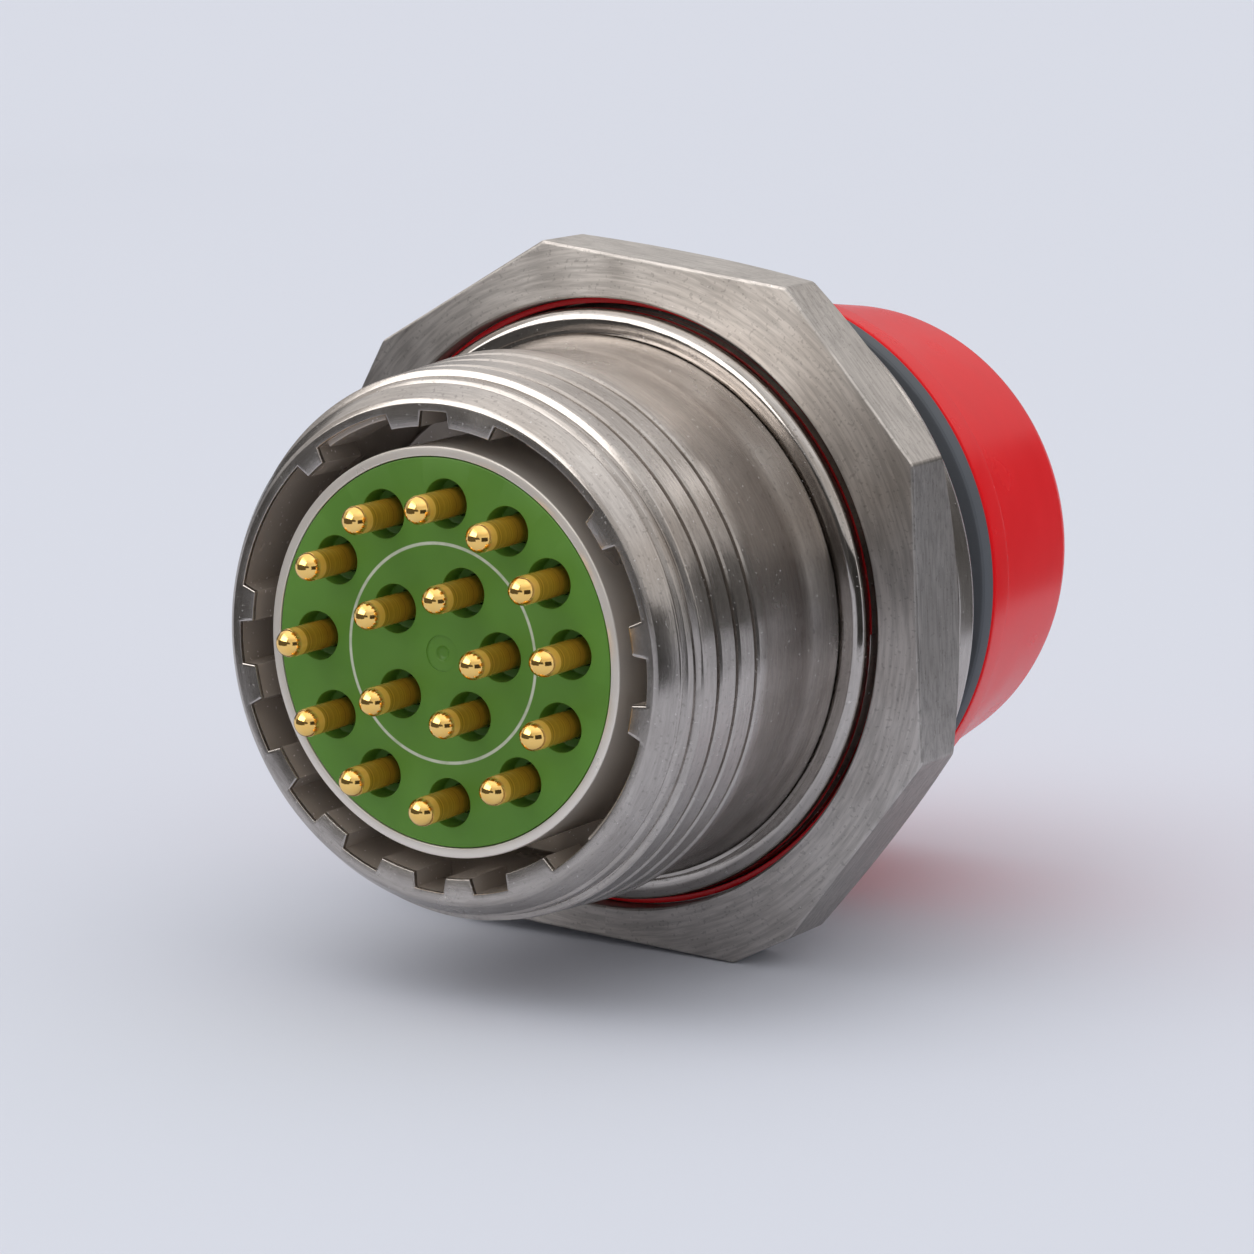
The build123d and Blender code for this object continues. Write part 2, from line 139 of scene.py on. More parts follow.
def wire(mesh, outline, closed):
    """Half-section from (radius, station, rounding) corners, large roundings in finer steps."""
    verts = [mesh.verts.new((radius * MM, y * MM, 0)) for radius, y, rounding in outline]
    pairs = list(zip(verts, verts[1:]))
    if closed:
        pairs.append((verts[-1], verts[0]))
    for first, second in pairs:
        mesh.edges.new((first, second))
    for amount in sorted({corner[2] for corner in outline if corner[2] > 0}):
        chosen = [vert for vert, corner in zip(verts, outline) if corner[2] == amount]
        steps = 12 if amount > 0.5 else 3
        bmesh.ops.bevel(mesh, geom=chosen, offset=amount * MM, offset_type="OFFSET",
                        affect="VERTICES", segments=steps, profile=0.5, material=-1)


def round_edges(mesh, edges, amount, steps):
    """Round the given edges by an amount in millimetres."""
    bmesh.ops.bevel(mesh, geom=edges, offset=amount * MM, offset_type="OFFSET", affect="EDGES",
                    segments=steps, profile=0.5, material=-1)


def tidy(mesh):
    """Close seams and poles, and turn the faces outwards."""
    bmesh.ops.remove_doubles(mesh, verts=mesh.verts[:], dist=SAME)
    bmesh.ops.recalc_face_normals(mesh, faces=mesh.faces[:])
    if mesh.calc_volume(signed=True) < 0:
        bmesh.ops.reverse_faces(mesh, faces=mesh.faces[:])


def lathe(outline, steps, closed=True):
    """A piece turned about the axis from its half-section."""
    mesh = bmesh.new()
    wire(mesh, outline, closed)
    bmesh.ops.spin(mesh, geom=mesh.verts[:] + mesh.edges[:], cent=(0, 0, 0), axis=(0, 1, 0),
                   angle=math.tau, steps=steps, use_merge=True)
    tidy(mesh)
    return mesh


def lathe_at(outline, x, z):
    """A slim piece turned about its own axis, which runs along Y at X and Z in millimetres."""
    mesh = lathe(outline, PIN_STEPS, closed=False)
    bmesh.ops.translate(mesh, verts=mesh.verts[:], vec=(x * MM, 0, z * MM))
    return mesh


def coil(outline, pitch, turns, steps):
    """A bar of the given section wound round the axis as a right-hand thread, from +X."""
    mesh = bmesh.new()
    verts = [mesh.verts.new((radius * MM, y * MM, 0)) for radius, y in outline]
    face = mesh.faces.new(verts)
    bmesh.ops.spin(mesh, geom=verts + face.edges[:] + [face], cent=(0, 0, 0), axis=(0, 1, 0),
                   dvec=(0, pitch * MM / steps, 0), angle=math.tau * turns,
                   steps=round(steps * turns))
    tidy(mesh)
    return mesh


def turn_to(mesh, clock):
    """Turn a mesh about the axis, so that what lies at +X comes to a clock angle."""
    bmesh.ops.rotate(mesh, cent=(0, 0, 0), matrix=Matrix.Rotation(math.radians(clock - 90), 3, "Y"),
                     verts=mesh.verts[:])


def sector(inner, outer, front, back, start, end, taper, edge):
    """Part of a ring between two clock angles, its free front edges rounded.

    The taper, in degrees, draws each side in at the inner radius.
    """
    mesh = bmesh.new()
    corners = ((inner, front), (outer, front), (outer, back), (inner, back))
    verts = [mesh.verts.new((radius * MM, y * MM, 0)) for radius, y in corners]
    face = mesh.faces.new(verts)
    turned = math.radians(end - start)
    bmesh.ops.spin(mesh, geom=verts + face.edges[:] + [face], cent=(0, 0, 0), axis=(0, 1, 0),
                   angle=turned, steps=max(6, round(end - start)))
    tidy(mesh)
    for vert in mesh.verts:
        if math.hypot(vert.co.x, vert.co.z) < (inner + 0.01) * MM:
            along = math.atan2(-vert.co.z, vert.co.x) / turned - 0.5
            pull = Matrix.Rotation(-math.radians(2 * taper * along), 4, "Y")
            vert.co = pull @ vert.co
    free = []
    for line in mesh.edges:
        at_front = all(abs(vert.co.y - front * MM) < SAME for vert in line.verts)
        sunk = all(math.hypot(vert.co.x, vert.co.z) > (outer - 0.01) * MM for vert in line.verts)
        if at_front and not sunk and line.calc_face_angle(0) > 0.5:
            free.append(line)
    round_edges(mesh, free, edge, steps=2)
    turn_to(mesh, start)
    bmesh.ops.recalc_face_normals(mesh, faces=mesh.faces[:])
    return mesh


def gather(parts):
    """One mesh of several, each kept whole."""
    whole = bmesh.new()
    for part in parts:
        data = bpy.data.meshes.new("part")
        part.to_mesh(data)
        part.free()
        whole.from_mesh(data)
        bpy.data.meshes.remove(data)
    return whole


def place(name, mesh):
    """An object at the origin that holds a finished mesh."""
    data = bpy.data.meshes.new(name)
    mesh.to_mesh(data)
    mesh.free()
    made = bpy.data.objects.new(name, data)
    bpy.context.scene.collection.objects.link(made)
    return made


def carve(piece, tool_mesh, operation):
    """Join a tool to the piece, or cut it away, and keep the result as the piece's own mesh."""
    tool = place("tool", tool_mesh)
    change = piece.modifiers.new("change", "BOOLEAN")
    change.operation = operation
    change.solver = "EXACT"
    change.object = tool
    graph = bpy.context.evaluated_depsgraph_get()
    result = bpy.data.meshes.new_from_object(piece.evaluated_get(graph))
    if not result.polygons:
        raise RuntimeError(f"{piece.name} came out empty from {operation}")
    piece.modifiers.remove(change)
    old = piece.data
    piece.data = result
    result.name = piece.name
    bpy.data.meshes.remove(old)
    bpy.data.objects.remove(tool)


def settle(piece, body, nodes, material):
    """Shade, dress and attach a finished piece in place of its CAD nodes."""
    data = piece.data
    data.shade_smooth()
    data.set_sharp_from_angle(angle=math.radians(SHARP_ANGLE))
    weigh = piece.modifiers.new("even shading", "WEIGHTED_NORMAL")
    weigh.keep_sharp = True
    data.materials.clear()
    data.materials.append(material)
    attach(piece, body)
    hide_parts(*nodes)


def dress(node, material):
    """Give a CAD node that stays its material."""
    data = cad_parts[node].data
    data.materials.clear()
    data.materials.append(material)


# Forms of the shell and the nut

def shell_outline():
    """Half-section of the shell: round the outside from rim to tail, and back through the bore."""
    rim, tail_end = span("shell")
    flange = reach("shell")
    ring_front, ring_back = span("retaining_ring")
    return (
        # Rounded lip, then the front band with its two fine lines
        (13.1, rim, 0.06), (13.55, rim, 0.05), (13.79, rim + 0.15, 0.05),
        (14.44, rim + 1.15, 0.03), (14.36, rim + 1.20, 0), (14.44, rim + 1.32, 0.03),
        (14.45, rim + 1.44, 0.03), (14.36, rim + 1.52, 0), (14.62, rim + 1.68, 0.03),
        (14.74, rim + 2.28, 0),
        # Crest of the coupling thread, plain neck and the bead, with a fine groove before it
        (CREST_FRONT, rim + CREST_LEAD, 0.06), (CREST_BACK, CREST_END, 0.06),
        (14.93, -14.85, 0.05), (14.93, -9.8, 0.49), (15.55, -7.35, 0.05), (15.55, -7.0, 0),
        (15.75, -7.0, 0), (15.75, -7.35, 0.05), (16.92, -7.35, 0.7), (16.92, -6.2, 0.08),
        # Crest of the mounting thread, and the flange with its seal's groove
        (16.6, -5.8, 0), (17.0, -5.4, 0), (17.0, 0, 0), (17.32, 0, 0), (17.32, 0.83, 0),
        (18.38, 0.83, 0), (18.38, 0, 0), (flange, 0, 0.3), (flange, 2.6, 1.1),
        # Barrel and tail, and the rear bore with the retaining ring's groove
        (15.7, 2.6, 0.1), (15.7, 7.7, 0.15), (13.6, 7.7, 0.1), (13.6, tail_end, 0.6),
        (12.3, tail_end, 0.15), (12.3, ring_back + 0.05, 0.03), (12.85, ring_back + 0.05, 0),
        (12.85, ring_front - 0.05, 0), (12.3, ring_front - 0.05, 0.03),
        # Inner step that the sleeve sits on, and the wide bore of the mouth
        (12.3, -5.2, 0), (11.25, -5.2, 0.05), (11.25, -12.7, 0.1), (13.1, -12.7, 0.2),
    )


def shell_teeth(rim, edge):
    """Keys and lands of the mouth, each sunk a little into the wall that it grows from."""
    root, back = 13.4, rim + 3.6
    teeth = [sector(12.25, root, rim, back, start, end, taper=1.0, edge=edge)
             for start, end in KEYS]
    teeth += [sector(12.85, root, rim + 0.5, back, start, end, taper=0.0, edge=edge / 2)
              for start, end in LANDS]
    return gather(teeth)


def coupling_groove(rim, pitch):
    """Bar that cuts the coupling thread and leaves flat crests, leaned out as the crests rise."""
    across = ((CREST_FRONT - 0.38, 0.11), (CREST_FRONT - 0.10, 0.17),
              (CREST_FRONT + 0.03, 0.30), (CREST_FRONT + 0.4, 0.67))
    groove = [(radius, rim - half) for radius, half in across]
    groove += [(radius, rim + half) for radius, half in reversed(across)]
    bar = coil(groove, pitch, turns=GROOVE_LENGTH / pitch, steps=128)
    turn_to(bar, GROOVE_CLOCK)
    rise = (CREST_BACK - CREST_FRONT) / (CREST_END - rim - CREST_LEAD)
    for vert in bar.verts:
        flat = Vector((vert.co.x, 0, vert.co.z))
        vert.co += flat.normalized() * rise * (vert.co.y - (rim + CREST_LEAD) * MM)
    return bar


def mounting_groove(pitch):
    """Bar that cuts the fine V thread behind the bead."""
    half = 0.44 * pitch
    vee = ((16.5, MOUNT_START), (17.05, MOUNT_START - half), (17.05, MOUNT_START + half))
    return coil(vee, pitch, turns=MOUNT_LENGTH / pitch, steps=96)


def nut_blank(front, back):
    """Many-sided bar between the flats, its upright edges and its front edges broken."""
    mesh = bmesh.new()
    verts = []
    for index, (clock, distance) in enumerate(NUT_FLATS):
        next_clock, further = NUT_FLATS[(index + 1) % len(NUT_FLATS)]
        a, b = math.radians(clock), math.radians(next_clock)
        turn = math.sin(b - a)
        x = (further * math.cos(a) - distance * math.cos(b)) / turn
        z = (distance * math.sin(b) - further * math.sin(a)) / turn
        verts.append(mesh.verts.new((x * MM, front * MM, z * MM)))
    face = mesh.faces.new(verts)
    pushed = bmesh.ops.extrude_face_region(mesh, geom=[face])
    moved = [item for item in pushed["geom"] if isinstance(item, bmesh.types.BMVert)]
    bmesh.ops.translate(mesh, verts=moved, vec=(0, (back - front) * MM, 0))
    bmesh.ops.recalc_face_normals(mesh, faces=mesh.faces[:])
    uprights = [line for line in mesh.edges
                if abs(line.verts[0].co.y - line.verts[1].co.y) > MM]
    round_edges(mesh, uprights, amount=0.16, steps=4)
    rim = [line for line in mesh.edges
           if all(abs(vert.co.y - front * MM) < SAME for vert in line.verts)]
    round_edges(mesh, rim, amount=0.22, steps=3)
    bmesh.ops.recalc_face_normals(mesh, faces=mesh.faces[:])
    return mesh


# Material making

def linear(colour):
    """Linear colour of an sRGB hex string."""
    parts = [int(colour[index:index + 2], 16) / 255 for index in (1, 3, 5)]
    return tuple(part / 12.92 if part <= 0.04045 else ((part + 0.055) / 1.055) ** 2.4
                 for part in parts) + (1,)


def add(tree, kind, settings, links):
    """A node with its settings, and a value or another node's socket on each named input."""
    made = tree.nodes.new(kind)
    for key, value in settings.items():
        setattr(made, key, value)
    for key, value in links.items():
        if isinstance(value, bpy.types.NodeSocket):
            tree.links.new(value, made.inputs[key])
        else:
            made.inputs[key].default_value = value
    return made


def new_material(name):
    """An empty material, its node tree and its surface shader."""
    made = bpy.data.materials.new(name)
    made.use_nodes = True
    tree = made.node_tree
    tree.nodes.clear()
    shader = add(tree, "ShaderNodeBsdfPrincipled", {}, {})
    add(tree, "ShaderNodeOutputMaterial", {}, {"Surface": shader.outputs["BSDF"]})
    return made, tree, shader


def surface(material):
    """Node tree and surface shader of a material that was made here."""
    tree = material.node_tree
    return tree, next(node for node in tree.nodes if node.type == "BSDF_PRINCIPLED")


def source(shader, key):
    """Socket that a shader's input is fed from."""
    return shader.inputs[key].links[0].from_socket


def feed(tree, shader, links):
    """Feed sockets to the shader's named inputs."""
    for key, socket in links.items():
        tree.links.new(socket, shader.inputs[key])


def object_place(tree):
    """Socket for the place on the piece, from Object coordinates."""
    return add(tree, "ShaderNodeTexCoord", {}, {}).outputs["Object"]


def split(tree, socket):
    """X, Y and Z sockets of a vector."""
    return add(tree, "ShaderNodeSeparateXYZ", {}, {0: socket}).outputs


def station_of(tree):
    """Socket for the station along the axis."""
    return split(tree, object_place(tree))["Y"]


def radius_of(tree):
    """Socket for the distance from the axis."""
    parts = split(tree, object_place(tree))
    flat = add(tree, "ShaderNodeCombineXYZ", {}, {"X": parts["X"], "Z": parts["Z"]})
    length = add(tree, "ShaderNodeVectorMath", {"operation": "LENGTH"}, {0: flat.outputs[0]})
    return length.outputs["Value"]


def angle_of(tree):
    """Socket for the clock angle about the axis, in radians."""
    parts = split(tree, object_place(tree))
    return reckon(tree, "ARCTAN2", parts["X"], parts["Z"])


def reckon(tree, operation, *values):
    """Socket for a sum on values or sockets, taken in order."""
    made = add(tree, "ShaderNodeMath", {"operation": operation}, dict(enumerate(values)))
    return made.outputs[0]


def rescale(tree, socket, old, new):
    """Carry a value over from one range to another, held at both ends."""
    made = add(tree, "ShaderNodeMapRange", {}, {
        "Value": socket, "From Min": old[0], "From Max": old[1], "To Min": new[0],
        "To Max": new[1]})
    return made.outputs[0]


def blend(tree, factor, first, second, how="MIX"):
    """Colour between a first one, at factor 0, and a second one, at factor 1.

    For colours, the node's inputs 0, 6 and 7 are its factor and the two, and its output is 2.
    """
    made = add(tree, "ShaderNodeMix", {"data_type": "RGBA", "blend_type": how}, {
        0: factor, 6: first, 7: second})
    return made.outputs[2]


def noise(tree, socket, grain, detail, roughness):
    """Noise of a grain in millimetres over the given coordinates."""
    made = add(tree, "ShaderNodeTexNoise", {}, {
        "Vector": socket, "Scale": 1 / (grain * MM), "Detail": detail, "Roughness": roughness})
    return made.outputs["Fac"]


def raised(tree, height, strength, depth):
    """Surface normal of a pattern that stands up by a depth in millimetres."""
    made = add(tree, "ShaderNodeBump", {}, {
        "Height": height, "Strength": strength, "Distance": depth * MM})
    return made.outputs[0]


def ramp(tree, socket, stops):
    """Colour ramp from (place, grey or hex) stops."""
    made = add(tree, "ShaderNodeValToRGB", {}, {"Fac": socket})
    elements = made.color_ramp.elements
    while len(elements) < len(stops):
        elements.new(0.5)
    for element, (where, colour) in zip(elements, stops):
        element.position = where
        element.color = (linear(colour) if isinstance(colour, str)
                         else (colour, colour, colour, 1))
    return made.outputs["Color"]


def turned_metal(name, light, dark, roughness, stretch, mark, depth, specks, bore=0.0, mouth=0.0,
                 dull="#BBB1A7"):
    """Lathe-turned metal: tool marks as rings, pits, glints, and a duller bore behind the mouth.

    The glints are painted highlights: near-white specks in the colour, with less metal.

    The rings run round the part, so the gloss stretches across them along the axis.
    """
    made, tree, shader = new_material(name)
    where, radius, station = object_place(tree), radius_of(tree), station_of(tree)
    drift = reckon(tree, "MULTIPLY", angle_of(tree), MARK_DRIFT * MM)
    lines = add(tree, "ShaderNodeCombineXYZ", {}, {"X": radius, "Y": station, "Z": drift})
    fine = noise(tree, lines.outputs[0], mark, detail=3.0, roughness=0.6)
    broad = noise(tree, where, CLOUD_GRAIN, detail=3.0, roughness=0.55)
    pits = ramp(tree, noise(tree, where, PIT_GRAIN, detail=1.0, roughness=0.5),
                ((0.0, 1.0), (0.30, 1.0), (0.36, 0.0)))
    # Painted highlights: near-white specks where a fine noise peaks
    glints = rescale(tree, noise(tree, where, PAINTED_GLINT_GRAIN, detail=0.0, roughness=0.5),
                     (0.80, 0.83), (0.0, specks * 1.6))
    inside = reckon(tree, "MULTIPLY", reckon(tree, "LESS_THAN", radius, bore * MM),
                    reckon(tree, "GREATER_THAN", station, mouth * MM))
    colour = blend(tree, broad, linear(dark), linear(light))
    colour = blend(tree, 0.15 + depth * 0.6, colour, ramp(tree, fine, ((0.36, 0.5), (0.62, 1.0))),
                   "MULTIPLY")
    colour = blend(tree, reckon(tree, "MULTIPLY", pits, specks), colour, linear(PIT_COLOUR))
    colour = blend(tree, inside, colour, linear(dull))
    # Painted highlights: the glints turn the colour near white and, below, take away metal
    colour = blend(tree, glints, colour, linear(PAINTED_GLINT_COLOUR))
    metal = add(tree, "ShaderNodeMath", {"operation": "SUBTRACT", "use_clamp": True}, {
        0: rescale(tree, inside, (0.0, 1.0), (1.0, 0.5)), 1: glints})
    around = add(tree, "ShaderNodeVectorMath", {"operation": "CROSS_PRODUCT"}, {
        0: (0, 1, 0), 1: where})
    along_marks = add(tree, "ShaderNodeVectorTransform", {
        "vector_type": "VECTOR", "convert_from": "OBJECT", "convert_to": "WORLD"}, {
        0: around.outputs[0]})
    feed(tree, shader, {
        "Base Color": colour,
        "Roughness": rescale(tree, broad, (0.3, 0.7),
                             (roughness - SHEEN_SWING, roughness + SHEEN_SWING)),
        "Normal": raised(tree, fine, strength=depth, depth=0.02),
        "Metallic": metal.outputs[0],
        "Tangent": along_marks.outputs[0]})
    # A quarter turn from the marks, so that the gloss stretches across them
    shader.inputs["Anisotropic"].default_value = stretch
    shader.inputs["Anisotropic Rotation"].default_value = 0.25
    return made


def polish(material, front, back, amount):
    """Make a turned metal glossier between two stations along the axis."""
    tree, shader = surface(material)
    station = station_of(tree)
    zone = reckon(tree, "MULTIPLY", reckon(tree, "GREATER_THAN", station, front * MM),
                  reckon(tree, "LESS_THAN", station, back * MM))
    less = reckon(tree, "MULTIPLY", zone, amount)
    feed(tree, shader, {
        "Roughness": reckon(tree, "SUBTRACT", source(shader, "Roughness"), less)})


def paint_shade_on_flats(material, share):
    """Paint shade on faces that look away from the axis, by darkening their base colour."""
    tree, shader = surface(material)
    facing = add(tree, "ShaderNodeTexCoord", {}, {}).outputs["Normal"]
    along = reckon(tree, "ABSOLUTE", split(tree, facing)["Y"])
    side = rescale(tree, along, (0.3, 0.6), (share, 1.0))
    feed(tree, shader, {
        "Base Color": blend(tree, side, (0, 0, 0, 1), source(shader, "Base Color"))})


def gold_plate():
    """Hard gold over nickel: a bright polished nose, and a ringed shank behind it.

    The shank's darker gold is painted shade for the part of each pin further back.

    The rings on the shank are drawn coarser than real ones, so that they show at this size.
    """
    made, tree, shader = new_material("gold plate on brass, polished nose")
    station = station_of(tree)
    shank = rescale(tree, station, (-25.28 * MM, -25.24 * MM), (0.0, 1.0))
    round_end = rescale(tree, station, (-26.0 * MM, -25.72 * MM), (1.0, 0.4))
    haze = noise(tree, object_place(tree), 0.5, detail=2.0, roughness=0.5)
    along = add(tree, "ShaderNodeCombineXYZ", {}, {"Y": station})
    rings = noise(tree, along.outputs[0], 0.12, detail=2.0, roughness=0.6)
    colour = blend(tree, haze, linear("#FFCB6A"), linear("#FFDA8C"))
    colour = blend(tree, round_end, linear("#FFB93C"), colour)
    # Painted shade: behind the nose the gold turns darker
    colour = blend(tree, shank, colour, linear("#CC9930"))
    colour = blend(tree, shank, colour, ramp(tree, rings, ((0.36, 0.55), (0.62, 1.0))), "MULTIPLY")
    feed(tree, shader, {
        "Base Color": colour,
        "Roughness": rescale(tree, shank, (0.0, 1.0), (0.10, 0.26)),
        "Normal": raised(tree, rings, strength=0.15, depth=0.02),
        "Metallic": round_end})
    return made


def plastic(name, light, dark, grain, roughness, gloss, depth):
    """Moulded plastic or rubber: slight mottling, an uneven skin and a clear or dull surface.

    The skin's grain is drawn coarser than a real mould leaves it, so that it shows at this size.
    """
    made, tree, shader = new_material(name)
    where = object_place(tree)
    clouds = noise(tree, where, 4, detail=3.0, roughness=0.5)
    skin = noise(tree, where, grain, detail=2.0, roughness=0.5)
    feed(tree, shader, {
        "Base Color": blend(tree, clouds, linear(dark), linear(light)),
        "Roughness": rescale(tree, clouds, (0.3, 0.7), (roughness - 0.03, roughness + 0.04)),
        "Normal": raised(tree, skin, strength=depth, depth=0.03)})
    shader.inputs["Specular IOR Level"].default_value = gloss
    return made


def print_circle(material, face, radius, width):
    """Print a pale circle, thin in places, on a moulding's front face."""
    tree, shader = surface(material)
    off = reckon(tree, "ABSOLUTE", reckon(tree, "SUBTRACT", radius_of(tree), radius))
    line = rescale(tree, off, (width * 0.38, width * 0.6), (1.0, 0.0))
    front = reckon(tree, "LESS_THAN", station_of(tree), (face + 0.02) * MM)
    wear = noise(tree, object_place(tree), 0.6, detail=2.0, roughness=0.5)
    printed = reckon(tree, "MULTIPLY", line, front)
    ink = reckon(tree, "MULTIPLY", printed, rescale(tree, wear, (0.3, 0.6), (0.7, 1.0)))
    feed(tree, shader, {
        "Base Color": blend(tree, ink, source(shader, "Base Color"), linear("#CDD5C0"))})


# Settings a user can change

class ReceptacleSizes(bpy.types.PropertyGroup):
    """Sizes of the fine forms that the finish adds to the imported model."""

    turn_steps: IntProperty(
        name="Steps round", description="Flat steps in one full turn of a lathed piece",
        default=256, min=48)
    thread_pitch: FloatProperty(
        name="Coupling thread pitch", description="Distance between turns of the coupling thread",
        default=1.75 * MM, unit="LENGTH", precision=5)
    mount_pitch: FloatProperty(
        name="Mounting thread pitch", description="Distance between turns of the mounting thread",
        default=1.0 * MM, unit="LENGTH", precision=5)
    key_edge: FloatProperty(
        name="Key edge", description="Rounding of each key's free front edges",
        default=0.1 * MM, unit="LENGTH", precision=5)
    circle_radius: FloatProperty(
        name="Printed circle radius", description="Radius of the circle printed on the insert",
        default=5.97 * MM, unit="LENGTH", precision=5)
    circle_width: FloatProperty(
        name="Printed circle width", description="Width of the pale printed line",
        default=0.17 * MM, unit="LENGTH", precision=5)


class ReceptacleColours(bpy.types.PropertyGroup):
    """Colours of the stage."""

    floor: FloatVectorProperty(
        name="Floor", description="Colour of the pale studio floor", subtype="COLOR", size=3,
        default=linear("#D6DAE5")[:3], min=0, max=1)


# One operator for each piece or group of like pieces

class RECEPTACLE_OT_shell(bpy.types.Operator):
    """Turn the shell, add its keys and cut its two threads"""

    bl_idname = "receptacle.shell"
    bl_label = "Shell"

    def execute(self, context):
        sizes = context.scene.receptacle_sizes
        rim = span("shell")[0]
        shell = place("turned_shell", lathe(shell_outline(), sizes.turn_steps))
        carve(shell, shell_teeth(rim, sizes.key_edge / MM), "UNION")
        carve(shell, coupling_groove(rim, sizes.thread_pitch / MM), "DIFFERENCE")
        carve(shell, mounting_groove(sizes.mount_pitch / MM), "DIFFERENCE")
        # A neutral satin whose highlights run along the axis, with a greyer, duller mouth
        steel = turned_metal(
            "turned stainless steel, satin", light="#C8C2BD", dark="#ADA6A0", roughness=0.25,
            stretch=0.6, mark=0.16, depth=0.25, specks=0.25, bore=13.12, mouth=rim + 0.25)
        # The rolled bead, nearly a mirror: hard bright and dark bands
        polish(steel, front=-7.5, back=-5.4, amount=0.13)
        settle(shell, "shell_body", ["shell"], steel)
        return {"FINISHED"}


class RECEPTACLE_OT_nut(bpy.types.Operator):
    """Mill the many-sided jam nut and face it"""

    bl_idname = "receptacle.nut"
    bl_label = "Jam nut"

    def execute(self, context):
        steps = context.scene.receptacle_sizes.turn_steps
        front, back = span("jam_nut")
        nut = place("many_sided_nut", nut_blank(front, back))
        slope = math.tan(math.radians(CHAMFER_SLOPE))
        foot = CHAMFER_RADIUS + (back - front + OVERRUN) / slope
        envelope = ((0, front - OVERRUN, 0), (foot, front - OVERRUN, 0),
                    (CHAMFER_RADIUS, back, 0.1), (0, back, 0))
        carve(nut, lathe(envelope, steps, closed=False), "INTERSECT")
        # Countersunk mouth, the band ring's counterbore, and the bore with its rear countersink
        bore = ((0, front - OVERRUN, 0), (18.7, front - OVERRUN, 0), (17.48, front + 0.12, 0.05),
                (17.48, front + 1.5, 0), (CLEAR_BORE, front + 1.5, 0.05),
                (CLEAR_BORE, back - 0.3, 0), (18.1, back + 0.7, 0), (0, back + 0.7, 0))
        carve(nut, lathe(bore, steps, closed=False), "DIFFERENCE")
        # Coarse facing marks fan the light out on the front face, and the flats get painted shade
        steel = turned_metal(
            "faced and milled nut steel", light="#E2DCD7", dark="#BFB8B2", roughness=0.36,
            stretch=0.85, mark=0.22, depth=0.65, specks=0.25)
        # Painted shade: the flats keep only a share of their base colour
        paint_shade_on_flats(steel, share=0.7)
        settle(nut, "nut_body", ["jam_nut"], steel)
        return {"FINISHED"}


class RECEPTACLE_OT_band(bpy.types.Operator):
    """Mould the thin red band ring in the nut's counterbore"""

    bl_idname = "receptacle.band"
    bl_label = "Red band ring"

    def execute(self, context):
        sizes = context.scene.receptacle_sizes
        front, back = span("band_ring")
        outer = reach("band_ring")
        lip = front + 0.28
        outline = ((CLEAR_BORE, lip, 0.06), (outer, lip, 0.12), (outer, back, 0.05),
                   (CLEAR_BORE, back, 0.05))
        band = place("red_band_ring", lathe(outline, sizes.turn_steps))
        # A thin line of clean red deep in the gap between bead and nut
        red = plastic("red moulded nylon, glossy", light="#F0121C", dark="#DE0E18", grain=0.2,
                      roughness=0.3, gloss=0.5, depth=0.08)
        settle(band, "nut_carriage", ["band_ring"], red)
        return {"FINISHED"}


class RECEPTACLE_OT_insert(bpy.types.Operator):
    """Mould the green insert with its cavities, and draw the thin sleeve round it"""

    bl_idname = "receptacle.insert"
    bl_label = "Insert and sleeve"

    def execute(self, context):
        sizes = context.scene.receptacle_sizes
        self.insert(sizes)
        self.sleeve(sizes)
        return {"FINISHED"}

    def insert(self, sizes):
        """Insulator with a counterbored cavity for each pin and a gate mark in the middle."""
        face, back = span("front_insert")
        wide = reach("front_insert")
        step = back - 2.3
        outline = ((0, face, 0), (INSERT_RADIUS, face, 0.08), (INSERT_RADIUS, step, 0),
                   (wide, step, 0.1), (wide, back, 0.1), (0, back, 0))
        insert = place("green_front_insert", lathe(outline, sizes.turn_steps, closed=False))
        cavity = ((0, face - OVERRUN, 0), (2.4, face - OVERRUN, 0), (1.33, face + 0.04, 0.03),
                  (1.33, face + 1.4, 0.1), (0.85, face + 1.4, 0), (0.85, CONTACT_STEP, 0),
                  (1.26, CONTACT_STEP, 0), (1.26, back + OVERRUN, 0), (0, back + OVERRUN, 0))
        holes = [lathe_at(cavity, *middle(node)) for node in CONTACTS]
        carve(insert, gather(holes), "DIFFERENCE")
        mark = ((0, face - OVERRUN, 0), (1.0, face - OVERRUN, 0), (1.0, face + 0.08, 0.03),
                (0.42, face + 0.08, 0.03), (0.3, face + 0.25, 0.1), (0, face + 0.25, 0))
        carve(insert, lathe(mark, steps=64, closed=False), "DIFFERENCE")
        # Leaf green with a soft gloss and a chalky printed line
        green = plastic("green glass-filled moulding, semi-matte", light="#629631",
                        dark="#4F7E24", grain=0.12, roughness=0.45, gloss=0.35, depth=0.10)
        print_circle(green, face, sizes.circle_radius, sizes.circle_width)
        settle(insert, "shell_body", ["front_insert"], green)

    def sleeve(self, sizes):
        """Thin tube round the insulator, with a rear collar that sits on the shell's step."""
        front, end = span("insert_sleeve")
        outer = reach("insert_sleeve")
        seat = end - 1.6
        outline = ((10.65, front, 0.06), (11.2, front, 0.1), (11.2, seat, 0), (outer, seat, 0.1),
                   (outer, end, 0.1), (10.65, end, 0.05))
        sleeve = place("thin_sleeve", lathe(outline, sizes.turn_steps))
        # Treated as bore all over: half metal, for a pale, even ring round the green face
        steel = turned_metal(
            "drawn steel sleeve, satin", light="#EFEAE3", dark="#D6D0C8", roughness=0.30,
            stretch=0.3, mark=0.2, depth=0.2, specks=0.1, bore=13.0, mouth=front - OVERRUN,
            dull="#EAE3DA")
        settle(sleeve, "shell_body", ["insert_sleeve"], steel)


